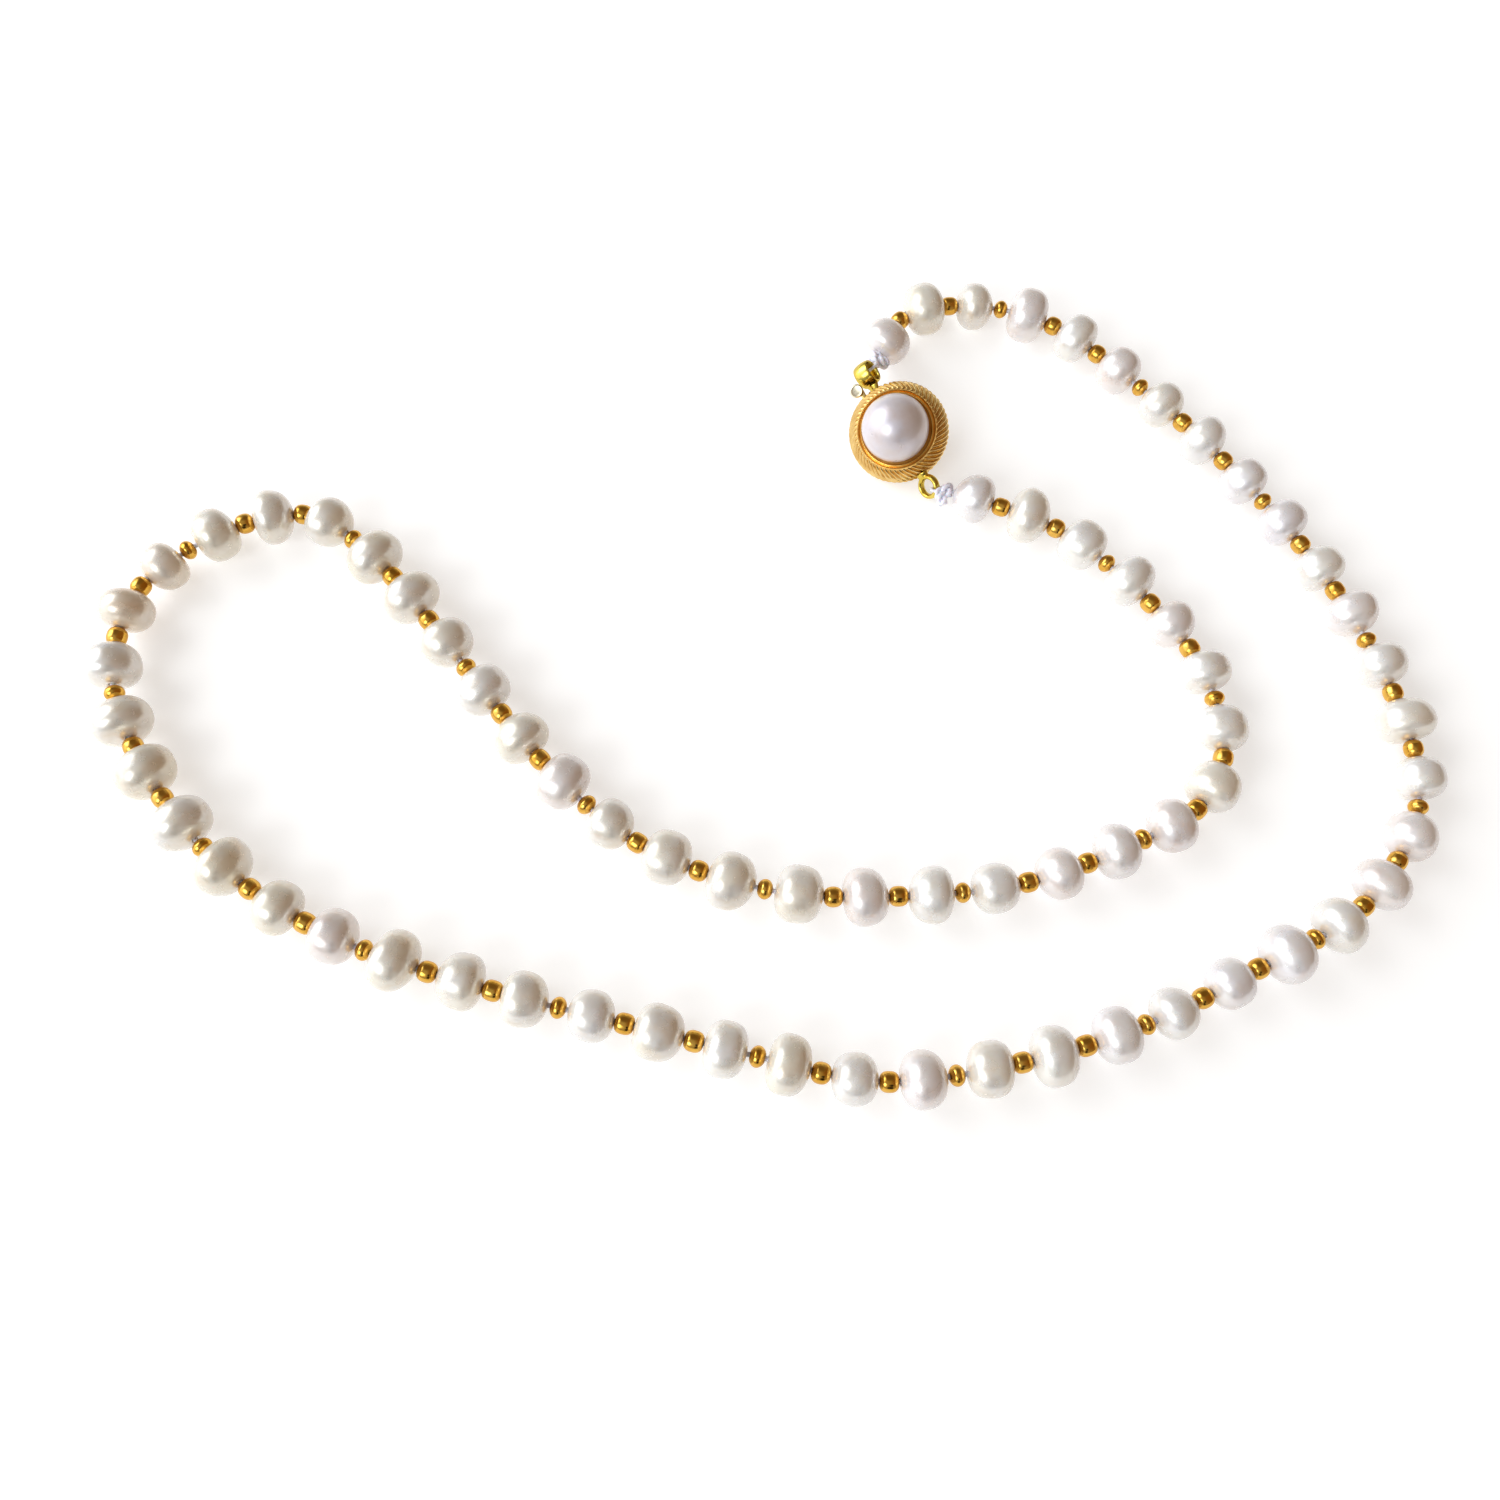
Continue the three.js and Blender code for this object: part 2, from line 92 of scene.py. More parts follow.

# The strand's route over the table, from the first pearl's middle to the last one's, as rounded
# from the gold beads' places in the photo.
ROUTE = [
    (14, 39), (16, 42), (22, 44), (28, 43.5), (34, 41), (43, 33), (51.5, 23), (58.5, 12.5),
    (63.5, 1), (66, -11.5), (65, -17.5), (61.5, -23), (57, -27.5), (45.5, -33.5),
    (34.5, -38.5), (22, -42), (9.5, -43.5), (-2.5, -41), (-14.5, -38), (-26.5, -35),
    (-39, -31), (-50, -25), (-59, -16), (-65, -5), (-65.5, 1), (-64, 6.5), (-59.5, 11),
    (-54, 14), (-48, 15), (-43, 12), (-38.5, 7.5), (-30.5, -2.5), (-22.5, -12.5),
    (-12.5, -21), (0, -25.5), (12.5, -26), (25, -24.5), (37, -20), (42.5, -17),
    (46, -11.5), (46, -5), (44, 1), (36, 11), (31, 15), (22.5, 18.5),
]

# The clasp, in its own frame: +Z out of the pearl's face, +X along the tongue.
BAND_RADIUS = 5.5
BAND_LOW = 1.25
BAND_FLUTES = 54
FLUTE_DEPTH = 0.33
FLUTE_LEAN = 3.4  # how many flutes one flute passes on its way across the band
SHELL_RADIUS = 4.7
BACK_RADIUS = 3.3
BEZEL_RADIUS = 4.25
CLASP_PEARL_RADIUS = 3.62
CLASP_PEARL_HEIGHT = 4.95
CLASP_PEARL_SEAT = 3.5  # the flat that the clasp pearl is cut off at
TONGUE_INNER = -2.6
TONGUE_LIP = -2.3  # the inner end is turned up from TONGUE_INNER to here
TONGUE_LIP_RISE = 0.7
TONGUE_OUTER = 5.3
TONGUE_HALF_WIDTH = 1.4  # and the leaf's
TONGUE_LOW = 0.75
TONGUE_THICKNESS = 0.3
LEAF_SLOPE = math.radians(4)
LEAF_LENGTH = 5.4
LEAF_THICKNESS = 0.3
STEM_LOW = (5.0, 1.1, 0)  # the two corners of the stem and the tab's middle, on the sloping leaf
STEM_HIGH = (8.4, 1.65, LEAF_THICKNESS)
TAB_MIDDLE = (8.25, 1.8, 0.36)
SLOT_INNER = 3.5
SLOT_OUTER = 6.5
SLOT_HALF_WIDTH = 1.75
SLOT_LOW = 0.4
SLOT_HIGH = 2.47
RING_RADIUS = 1.1  # to the middle of its metal, as the bail's
RING_THICKNESS = 0.58
RING_WIDTH = 0.85
BAIL_RADIUS = 1.22
BAIL_THICKNESS = 0.46
BAIL_WIDTH = 1.9
HOUSING_LUG = (-BAND_RADIUS + 0.25, 0, 2.1)  # where each eyelet's neck leaves the clasp
TONGUE_LUG = (BAND_RADIUS - 0.1, 0, 1.1)
KNOT_SIZE = 0.245  # a third of a knot's reach


# ------------------------------------------------------------------ meshes
def new_object(name, mesh, material):
    mesh.materials.clear()
    mesh.materials.append(material)
    piece = bpy.data.objects.new(name, mesh)
    bpy.context.scene.collection.objects.link(piece)
    return piece


def piece_of(name, points, faces, material, sharp=0.8):
    """A smooth-shaded piece from points in millimetres; edges sharper than sharp radians stay crisp."""
    mesh = bpy.data.meshes.new(name)
    mesh.from_pydata(np.asarray(points, float) * MM, [], faces)
    work = bmesh.new()
    work.from_mesh(mesh)
    bmesh.ops.recalc_face_normals(work, faces=work.faces)
    work.to_mesh(mesh)
    work.free()
    mesh.polygons.foreach_set("use_smooth", [True] * len(mesh.polygons))
    mesh.set_sharp_from_angle(angle=sharp)
    mesh.update()
    return new_object(name, mesh, material)


def grid_faces(rows, columns, wrap_rows=True):
    """Quads over rows of points, each row closed on itself, and the last row joined to the first."""
    faces = []
    for i in range(rows if wrap_rows else rows - 1):
        for j in range(columns):
            a, b = i * columns, ((i + 1) % rows) * columns
            k = (j + 1) % columns
            faces.append((a + j, a + k, b + k, b + j))
    return faces


def arc_corners(outline, radius, steps=5):
    """A closed outline with every corner rounded off."""
    rounded = []
    count = len(outline)
    for i in range(count):
        before, corner, after = (np.array(outline[(i + k) % count], float) for k in (-1, 0, 1))
        reach = min(
            radius, 0.45 * np.linalg.norm(before - corner), 0.45 * np.linalg.norm(after - corner)
        )
        start = corner + (before - corner) / np.linalg.norm(before - corner) * reach
        end = corner + (after - corner) / np.linalg.norm(after - corner) * reach
        for k in range(steps + 1):
            share = k / steps
            rounded.append(
                (1 - share) ** 2 * start + 2 * share * (1 - share) * corner + share**2 * end
            )
    return rounded


def lathe(outline, sides):
    """Points and faces of a closed outline of (radius, height) turned about +Z."""
    turn = np.linspace(0, 2 * math.pi, sides, endpoint=False)
    rows = [
        np.stack([r * np.cos(turn), r * np.sin(turn), np.full(sides, z)], axis=1) for r, z in outline
    ]
    return np.concatenate(rows), grid_faces(len(outline), sides)


def capped_lathe(outline, sides):
    """The same for an open outline that ends near the axis at both ends, closed by two fans."""
    points, _ = lathe(outline, sides)
    faces = grid_faces(len(outline), sides, wrap_rows=False)
    low, high = len(points), len(points) + 1
    last = (len(outline) - 1) * sides
    faces += [((j + 1) % sides, j, low) for j in range(sides)]
    faces += [(last + j, last + (j + 1) % sides, high) for j in range(sides)]
    ends = [(0, 0, outline[0][1]), (0, 0, outline[-1][1])]
    return np.concatenate([points, ends]), faces


def sweep(path, section, closed=False):
    """Points and faces of a tube: section(i) gives the (side, up) points of the ring at path[i]."""
    path = [Vector(point) for point in path]
    count = len(path)
    points, normal = [], None
    for i, point in enumerate(path):
        before = path[(i - 1) % count] if closed or i > 0 else point
        after = path[(i + 1) % count] if closed or i < count - 1 else point
        tangent = (after - before).normalized()
        if normal is None:
            normal = tangent.orthogonal().normalized()
        normal = (normal - tangent * normal.dot(tangent)).normalized()
        binormal = tangent.cross(normal)
        points += [point + normal * u + binormal * v for u, v in section(i)]
    sides = len(section(0))
    faces = grid_faces(count, sides, wrap_rows=closed)
    if not closed:
        faces.append(tuple(range(sides))[::-1])
        faces.append(tuple((count - 1) * sides + j for j in range(sides)))
    return [tuple(point) for point in points], faces


def two_ply(radius, sides=12, turn=0.0):
    """A section of thread twisted from two plies."""
    ring = []
    for j in range(sides):
        angle = 2 * math.pi * j / sides
        reach = radius * (0.8 + 0.2 * abs(math.cos(angle - turn)))
        ring.append((reach * math.cos(angle), reach * math.sin(angle)))
    return ring


def merged(parts):
    """Several (points, faces) as one."""
    points, faces = [], []
    for part_points, part_faces in parts:
        start = len(points)
        points += [tuple(point) for point in part_points]
        faces += [tuple(start + index for index in face) for face in part_faces]
    return points, faces


def cast(name, parts, material, voxel=0.055, smoothing=6):
    """Parts run together into one body with soft joints, as cast metal is."""
    points, faces = merged(parts)
    rough = bpy.data.meshes.new(name + "_rough")
    rough.from_pydata(points, [], faces)
    model = bpy.data.objects.new(name + "_rough", rough)
    bpy.context.scene.collection.objects.link(model)
    remesh = model.modifiers.new("fuse", "REMESH")
    remesh.mode = "VOXEL"
    remesh.voxel_size = voxel
    smooth = model.modifiers.new("soften", "SMOOTH")
    smooth.factor = 0.5
    smooth.iterations = smoothing
    mesh = bpy.data.meshes.new_from_object(
        model.evaluated_get(bpy.context.evaluated_depsgraph_get())
    )
    bpy.data.objects.remove(model)
    mesh.transform(Matrix.Scale(MM, 4))
    mesh.name = name
    mesh.polygons.foreach_set("use_smooth", [True] * len(mesh.polygons))
    return new_object(name, mesh, material)


# ------------------------------------------------------------------ materials
def shader(name, **values):
    """A material with its shader's own values set, and its node tree."""
    material = bpy.data.materials.new(name)
    material.use_nodes = True
    surface = material.node_tree.nodes["Principled BSDF"]
    for socket, value in values.items():
        surface.inputs[socket.replace("_", " ")].default_value = value
    return material, surface


def add_node(material, kind, **values):
    node = material.node_tree.nodes.new(kind)
    for key, value in values.items():
        if hasattr(node, key):
            setattr(node, key, value)
        else:
            node.inputs[key.replace("_", " ")].default_value = value
    return node


def wire(material, source, target):
    material.node_tree.links.new(source, target)


def grain(material, scale, detail=3.0, roughness=0.5, distortion=0.0):
    """Noise over the piece's own surface, with scale in features a metre."""
    place = add_node(material, "ShaderNodeTexCoord")
    speckle = add_node(
        material, "ShaderNodeTexNoise", Scale=scale, Detail=detail, Roughness=roughness,
        Distortion=distortion,
    )
    wire(material, place.outputs["Object"], speckle.inputs["Vector"])
    return speckle.outputs["Fac"]


def remapped(material, source, low, high, start=0.3, end=0.7):
    remap = add_node(material, "ShaderNodeMapRange")
    remap.inputs["From Min"].default_value = start
    remap.inputs["From Max"].default_value = end
    remap.inputs["To Min"].default_value = low
    remap.inputs["To Max"].default_value = high
    wire(material, source, remap.inputs["Value"])
    return remap.outputs["Result"]


def colour_mix(material, factor, first, second):
    """A blend of two colours, either of which may be a socket."""
    mix = add_node(material, "ShaderNodeMix", data_type="RGBA")
    inputs = {socket.identifier: socket for socket in mix.inputs}
    wire(material, factor, inputs["Factor_Float"])
    for key, colour in (("A_Color", first), ("B_Color", second)):
        if isinstance(colour, bpy.types.NodeSocket):
            wire(material, colour, inputs[key])
        else:
            inputs[key].default_value = (*colour, 1)
    return next(s for s in mix.outputs if s.identifier == "Result_Color")


def bumped(material, surface, height, distance):
    bump = add_node(material, "ShaderNodeBump", Strength=1.0, Distance=distance)
    wire(material, height, bump.inputs["Height"])
    wire(material, bump.outputs["Normal"], surface.inputs["Normal"])


def nacre(name, body, overtone, deep, lustre=(0.2, 0.3, 0.2)):
    """Nacre: a body colour clouded with an overtone and a deeper tint.

    lustre is the least roughness of the surface, its most, and the roughness of its coat.
    """
    material, surface = shader(
        name,
        Metallic=0.3,
        IOR=1.6,
        Subsurface_Weight=0.2,
        Subsurface_Radius=(1.0, 0.8, 0.65),
        Subsurface_Scale=0.0008,
        Coat_Weight=0.5,
        Coat_Roughness=lustre[2],
        Coat_IOR=1.5,
    )
    clouds = remapped(material, grain(material, 260, 2, 0.5, 0.6), 0, 1, 0.36, 0.66)
    patches = remapped(material, grain(material, 520, 3, 0.55), 0, 0.65, 0.48, 0.78)
    colour = colour_mix(material, clouds, body, overtone)
    colour = colour_mix(material, patches, colour, deep)
    wire(material, colour, surface.inputs["Base Color"])
    roughness = remapped(material, grain(material, 900, 3), lustre[0], lustre[1])
    wire(material, roughness, surface.inputs["Roughness"])
    bumped(material, surface, grain(material, 700, 3, 0.55), 0.00002)
    return material


def gold(name, colour, shade, low, high, scratch=0.000006):
    """Polished gold plate: a little unevenness in colour, polish and surface."""
    material, surface = shader(name, Metallic=1.0)
    tint = remapped(material, grain(material, 900, 2), 0, 1, 0.35, 0.65)
    wire(material, colour_mix(material, tint, colour, shade), surface.inputs["Base Color"])
    wire(
        material,
        remapped(material, grain(material, 2400, 4, 0.6), low, high),
        surface.inputs["Roughness"],
    )
    bumped(material, surface, grain(material, 1500, 4, 0.6, 0.4), scratch)
    return material


def silk(name):
    """White twisted thread with a soft sheen."""
    material, surface = shader(name, Roughness=0.75, Sheen_Weight=0.4, Subsurface_Weight=0.15)
    surface.inputs["Subsurface Scale"].default_value = 0.0004
    fibre = grain(material, 6000, 3, 0.7)
    colour = colour_mix(material, fibre, (0.74, 0.73, 0.85), (0.9, 0.89, 0.95))
    wire(material, colour, surface.inputs["Base Color"])
    bumped(material, surface, fibre, 0.00004)
    return material


NACRE_TONES = {  # body, overtone and deep patches
    "w": ((0.84, 0.81, 0.75), (0.81, 0.79, 0.78), (0.77, 0.69, 0.57)),
    "s": ((0.82, 0.79, 0.77), (0.79, 0.76, 0.78), (0.75, 0.65, 0.60)),
    "p": ((0.83, 0.77, 0.73), (0.80, 0.76, 0.76), (0.76, 0.62, 0.54)),
    "c": ((0.83, 0.78, 0.68), (0.80, 0.77, 0.73), (0.76, 0.64, 0.49)),
    "g": ((0.82, 0.76, 0.63), (0.79, 0.76, 0.70), (0.75, 0.60, 0.43)),
    "t": ((0.82, 0.73, 0.60), (0.79, 0.73, 0.67), (0.74, 0.56, 0.40)),
}
NACRE = {tone: nacre(f"nacre_{tone}", *colours) for tone, colours in NACRE_TONES.items()}
CLASP_NACRE = nacre(
    "nacre_clasp", (0.67, 0.60, 0.59), (0.65, 0.61, 0.66), (0.60, 0.48, 0.44),
    lustre=(0.27, 0.38, 0.3),
)
BEAD_GOLD = gold("bead_gold", (0.76, 0.44, 0.085), (0.66, 0.34, 0.045), 0.09, 0.18)
CLASP_GOLD = gold("clasp_gold", (0.82, 0.58, 0.23), (0.70, 0.44, 0.14), 0.1, 0.22, 0.00001)
EYELET_GOLD = gold("eyelet_gold", (0.74, 0.57, 0.12), (0.62, 0.44, 0.06), 0.1, 0.2, 0.00001)
BEZEL_GOLD = gold("bezel_gold", (0.84, 0.54, 0.17), (0.76, 0.44, 0.11), 0.04, 0.1)
# The thumb tab's gold is lightened nearly to white. This is a painted highlight of the glint on the
# tab, laid over its own gold.
GLINT_PALE_TAB_GOLD = gold("tab_gold_painted_glint", (0.92, 0.84, 0.64), (0.88, 0.79, 0.56), 0.2, 0.34)
SILK = silk("silk_thread")


# ------------------------------------------------------------------ the strand's layout
def catmull_rom(points, steps):
    """Points along the centripetal Catmull-Rom curve through the given ones."""
    points = [np.array(point, float) for point in points]
    padded = [2 * points[0] - points[1], *points, 2 * points[-1] - points[-2]]
    line = []
    for p0, p1, p2, p3 in zip(padded, padded[1:], padded[2:], padded[3:]):
        d0, d1, d2 = (math.sqrt(np.linalg.norm(b - a)) for a, b in ((p0, p1), (p1, p2), (p2, p3)))
        leave = ((p1 - p0) / d0 - (p2 - p0) / (d0 + d1) + (p2 - p1) / d1) * d1
        arrive = ((p2 - p1) / d1 - (p3 - p1) / (d1 + d2) + (p3 - p2) / d2) * d1
        for t in np.linspace(0, 1, steps, endpoint=False):
            line.append(
                p1 + leave * t
                + (3 * (p2 - p1) - 2 * leave - arrive) * t**2
                + (2 * (p1 - p2) + leave + arrive) * t**3
            )
    line.append(points[-1])
    return np.array(line)


def strung_beads():
    """The pearls and spacers in stringing order, with their middles' distances along the thread."""
    beads, reach = [], 0.0
    for i, (width, length) in enumerate(zip(ACROSS_IN_ORDER, ALONG_IN_ORDER)):
        if i > 0:
            beads.append({"kind": "spacer", "number": i, "middle": reach + SPACER_LENGTH / 2})
            reach += SPACER_LENGTH
        along = PEARL_ALONG[length]
        beads.append(
            {
                "kind": "pearl", "number": i + 1, "middle": reach + along / 2,
                "across": PEARL_ACROSS[width], "along": along, "tone": TONE_IN_ORDER[i],
            }
        )
        reach += along
    return beads


BEADS = strung_beads()
PEARL_MIDDLES = [bead["middle"] for bead in BEADS if bead["kind"] == "pearl"]
PEARL_HEIGHTS = [bead["across"] / 2 for bead in BEADS if bead["kind"] == "pearl"]
LINE = catmull_rom(ROUTE, 60)
LINE_REACH = np.concatenate([[0], np.cumsum(np.linalg.norm(np.diff(LINE, axis=0), axis=1))])
LINE_SCALE = LINE_REACH[-1] / (PEARL_MIDDLES[-1] - PEARL_MIDDLES[0])


def on_line(distance):
    """The place over the table at a distance along the thread, before the strand is centred."""
    reach = (distance - PEARL_MIDDLES[0]) * LINE_SCALE
    held = min(max(reach, 0), LINE_REACH[-1])
    place = np.array([np.interp(held, LINE_REACH, LINE[:, k]) for k in (0, 1)])
    if reach != held:
        end = (LINE[1] - LINE[0]) if reach < 0 else (LINE[-1] - LINE[-2])
        place += end / np.linalg.norm(end) * (reach - held)
    return place


first_spacer = (
    in_mm(joints["spacer_01_side"]["pos_m"]) + in_mm(joints["spacer_01_lift"]["pos_m"])
) / 2
CENTRING = np.array(first_spacer[:2]) - on_line(BEADS[BEADS_TO_A_RUN - 1]["middle"])


def thread_at(distance):
    """The thread's middle at a distance along it: through the middle of every pearl."""
    x, y = on_line(distance) + CENTRING
    return Vector((x, y, np.interp(distance, PEARL_MIDDLES, PEARL_HEIGHTS)))


def strand_frame(distance):
    """Axes at a distance along the thread, as columns: along it, level to its side, and up."""
    tangent = (thread_at(distance + 0.4) - thread_at(distance - 0.4)).normalized()
    side = tangent.cross(Z).normalized()
    return np.array([tangent, side, side.cross(tangent)]).T


def run_name(bead):
    """The body that a bead rides on."""
    index = BEADS.index(bead)
    kind = "spacer" if index % BEADS_TO_A_RUN == BEADS_TO_A_RUN - 1 else "pearls"
    return f"{kind}_{index // BEADS_TO_A_RUN + 1:02d}"


# ------------------------------------------------------------------ pearls, spacers and thread
PEARL_RINGS = 30
PEARL_SIDES = 44


def pearl_surface(across, along, dice):
    """A drilled pearl about its own middle, with the thread along x: points and faces."""
    power = dice.uniform(2.2, 2.6)
    lopsided = dice.uniform(-0.09, 0.09)
    lean, swing = dice.uniform(-0.13, 0.13), dice.uniform(-0.05, 0.05)
    egg = dice.uniform(-0.07, 0.07)
    lobes = [
        (k, size * dice.uniform(0.3, 1), dice.uniform(0, 6.28))
        for k, size in ((1, 0.03), (2, 0.03), (3, 0.016))
    ]
    shift = Vector([dice.uniform(-50, 50) for _ in range(3)])
    grooves = dice.uniform(0.2, 1) ** 3 * 0.011
    groove_pitch = dice.uniform(0.32, 0.5)
    groove_side = dice.choice((-1, 1))
    tilt = np.array(Matrix.Rotation(lean, 3, "Z") @ Matrix.Rotation(swing, 3, "Y"))

    def reach(polar, turn):
        direction = np.array(
            [math.cos(polar), math.sin(polar) * math.cos(turn), math.sin(polar) * math.sin(turn)]
        )
        x, y, z = tilt @ direction
        half = along / 2 * (1 + lopsided * (1 if x > 0 else -1))
        outward = math.hypot(y, z) / (across / 2)
        length = ((abs(x) / half) ** power + outward**power) ** (-1 / power)
        belly = math.sin(polar) ** 2
        for k, size, phase in lobes:
            length *= 1 + size * belly * math.cos(k * turn + phase)
        length *= 1 + egg * belly * math.cos(polar) * 2 - 0.012 * belly
        spot = Vector(direction * length)
        length *= 1 + 0.018 * noise.noise(spot * 0.45 + shift)
        window = max(0.0, min(1.0, groove_side * spot.x / (along / 2) + 0.25))
        length *= 1 + grooves * window * belly * math.sin(2 * math.pi * spot.x / groove_pitch)
        return direction * length

    mouth = math.asin(HOLE_RADIUS / (along / 2))
    outside = np.linspace(mouth * 1.25, math.pi - mouth * 1.25, PEARL_RINGS)
    turns = np.linspace(0, 2 * math.pi, PEARL_SIDES, endpoint=False)
    rings = [np.array([reach(polar, turn) for turn in turns]) for polar in outside]
    bore = np.stack([np.zeros(PEARL_SIDES), np.cos(turns), np.sin(turns)], axis=1) * HOLE_RADIUS
    far_end, near_end = rings[-1][:, 0].mean(), rings[0][:, 0].mean()
    rings.append(bore + (far_end + 0.07, 0, 0))
    rings.append(bore * 0.94 + (far_end + 0.3, 0, 0))
    rings.append(bore * 0.94 + (near_end - 0.3, 0, 0))
    rings.append(bore + (near_end - 0.07, 0, 0))
    shifted = np.concatenate(rings) - (lopsided * along / 2, 0, 0)
    return shifted, grid_faces(len(rings), PEARL_SIDES)


def make_pearl(bead):
    dice = random.Random(700 + bead["number"])
    points, faces = pearl_surface(bead["across"], bead["along"], dice)
    placed = points @ strand_frame(bead["middle"]).T + np.array(thread_at(bead["middle"]))
    placed[:, 2] -= min(0.0, placed[:, 2].min())
    pearl = piece_of(f"pearl_{bead['number']:02d}", placed, faces, NACRE[bead["tone"]])
    return pearl


def spacer_surface(dice, bends):
    """A round-shouldered bead with its hole, about its middle and along x."""
    power = 2.0 if bends else dice.uniform(2.4, 2.8)
    half = BENDING_SPACER_HALF if bends else SPACER_HALF * dice.uniform(0.98, 1.0)
    radius = SPACER_RADIUS * dice.uniform(0.98, 1.03)
    rim = HOLE_RADIUS + 0.06
    outline = []
    for turn in np.linspace(0, math.pi, 40):
        r = radius * math.sin(turn) ** (2 / power)
        if r > rim:
            height = math.copysign(abs(math.cos(turn)) ** (2 / power), math.cos(turn))
            outline.append((r, height * half))
    outline += [
        (rim, outline[-1][1]), (HOLE_RADIUS, -half + 0.1),
        (HOLE_RADIUS, half - 0.1), (rim, outline[0][1]),
    ]
    points, faces = lathe(outline[::-1], 32)
    return points[:, [2, 0, 1]], faces


def make_spacer(bead):
    dice = random.Random(300 + bead["number"])
    points, faces = spacer_surface(dice, run_name(bead).startswith("spacer"))
    place = thread_at(bead["middle"])
    wobble = np.array(Matrix.Rotation(dice.uniform(-0.05, 0.05), 3, "Z"))
    placed = points @ wobble.T @ strand_frame(bead["middle"]).T + np.array(place)
    spacer = piece_of(f"gold_bead_{bead['number']:02d}", placed, faces, BEAD_GOLD)
    return spacer


def make_thread(name, start, end, steps):
    """A length of the two-ply thread between two distances along the strand."""
    path = [thread_at(distance) for distance in np.linspace(start, end, steps)]
    pitch = (end - start) / (steps - 1)
    points, faces = sweep(path, lambda i: two_ply(THREAD_RADIUS, turn=2.4 * i * pitch))
    thread = piece_of(name, points, faces, SILK, sharp=3)
    return thread


def make_strand():
    """Every pearl and spacer, and the thread inside them, each on its own body."""
    for bead in BEADS:
        body = run_name(bead)
        piece = make_pearl(bead) if bead["kind"] == "pearl" else make_spacer(bead)
        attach(piece, body)
        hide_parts(body)
        if body.startswith("spacer"):
            thread = make_thread(
                f"thread_in_{body}",
                bead["middle"] - SPACER_THREAD_REACH, bead["middle"] + SPACER_THREAD_REACH, 4,
            )
            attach(thread, body)
    for start in range(0, len(BEADS), BEADS_TO_A_RUN):
        run = BEADS[start : start + BEADS_TO_A_RUN - 1]
        body = run_name(run[0])
        thread = make_thread(f"thread_in_{body}", run[0]["middle"], run[-1]["middle"], 40)
        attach(thread, body)


def make_bending_threads():
    """The short free lengths of thread between a run and the spacer beside it, laid along the thread's
    route.

    Where the loop is opened, a spacer has no joint on one side. The thread is cut there, and a
    stub of it stays with each of the two bodies that part.
    """
    by_body = {run_name(bead): bead for bead in BEADS if run_name(bead).startswith("spacer")}
    bends_at = set()
    for joint in frame["joints"]:
        if not joint["name"].startswith("spacer"):
            continue
        bead = by_body[joint["name"][:9]]
        along = 1 if (in_mm(joint["pos_m"]) - thread_at(bead["middle"])).dot(
            thread_at(bead["middle"] + 0.5) - thread_at(bead["middle"] - 0.5)
        ) > 0 else -1
        pearl = BEADS[BEADS.index(bead) + along]
        bends_at.add((bead["number"], along))
        inner = bead["middle"] + along * BENDING_THREAD_START
        outer = pearl["middle"] - along * BENDING_THREAD_START
        thread = make_thread(f"thread_by_{joint['name']}", inner, outer, 24)
        thread_at(bead["middle"] + along * 0.75) * MM
        thread_at(bead["middle"] + along * 1.25) * MM
        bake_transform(thread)
    for body, bead in by_body.items():
        for along in (1, -1):
            if (bead["number"], along) in bends_at:
                continue
            pearl = BEADS[BEADS.index(bead) + along]
            parting = bead["middle"] + along * PARTING
            short = parting - along * PARTING_GAP
            stub = make_thread(f"thread_from_{body}", bead["middle"], short, 12)
            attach(stub, body)
            stub = make_thread(f"thread_to_{body}", parting, pearl["middle"], 40)
            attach(stub, run_name(pearl))


# ------------------------------------------------------------------ the clasp
tongue_axis = Vector(joints["tongue_slide"]["axis"]).normalized()
back_mount = next(m for m in frame["record"]["mounts"] if m["name"] == "clasp_back")
face_axis = -Vector(back_mount["axis"]).normalized()
CLASP = Matrix.Translation(in_mm(back_mount["pos_m"])) @ Matrix(
    (tongue_axis, face_axis.cross(tongue_axis), face_axis)
).transposed().to_4x4()


def turned_by(part, matrix):
    """A part's (points, faces), with its points moved by a matrix."""
    points, faces = part
    return [tuple(matrix @ Vector(point)) for point in points], faces


def placed_on_clasp(part):
    """A part from the clasp's frame, in the necklace's."""
    return turned_by(part, CLASP)


def finish_piece(piece, body, slot, *nodes):
    """Put a piece on its body and in place of its nodes; slot is not used."""
    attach(piece, body)
    if nodes:
        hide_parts(*nodes)
    return piece


def cut_slot(piece):
    """Cut the mouth that the tongue and its leaf slide through."""
    low = (SLOT_INNER, -SLOT_HALF_WIDTH, SLOT_LOW)
    high = (SLOT_OUTER, SLOT_HALF_WIDTH, SLOT_HIGH)
    points, faces = placed_on_clasp(bevelled_box(low, high))
    cutter = piece_of("slot", points, faces, CLASP_GOLD)
    boolean = piece.modifiers.new("slot", "BOOLEAN")
    boolean.operation = "DIFFERENCE"
    boolean.solver = "EXACT"
    boolean.object = cutter
    graph = bpy.context.evaluated_depsgraph_get()
    piece.data = bpy.data.meshes.new_from_object(piece.evaluated_get(graph))
    piece.modifiers.clear()
    bpy.data.objects.remove(cutter)


def make_shell():
    """The tapered housing, with its floor; the back plate closes it."""
    outline = arc_corners(
        [
            (0.2, 2.5), (4.25, 2.5), (4.25, 1.3), (2.85, 0.0), (BACK_RADIUS, 0.0),
            (SHELL_RADIUS, 0.9), (SHELL_RADIUS, 2.9), (0.2, 2.9),
        ],
        0.15,
    )
    shell = piece_of("detailed_housing_shell", *placed_on_clasp(lathe(outline, 96)), CLASP_GOLD)
    cut_slot(shell)
    return finish_piece(shell, "clasp", "clasp_gold", "housing_shell")


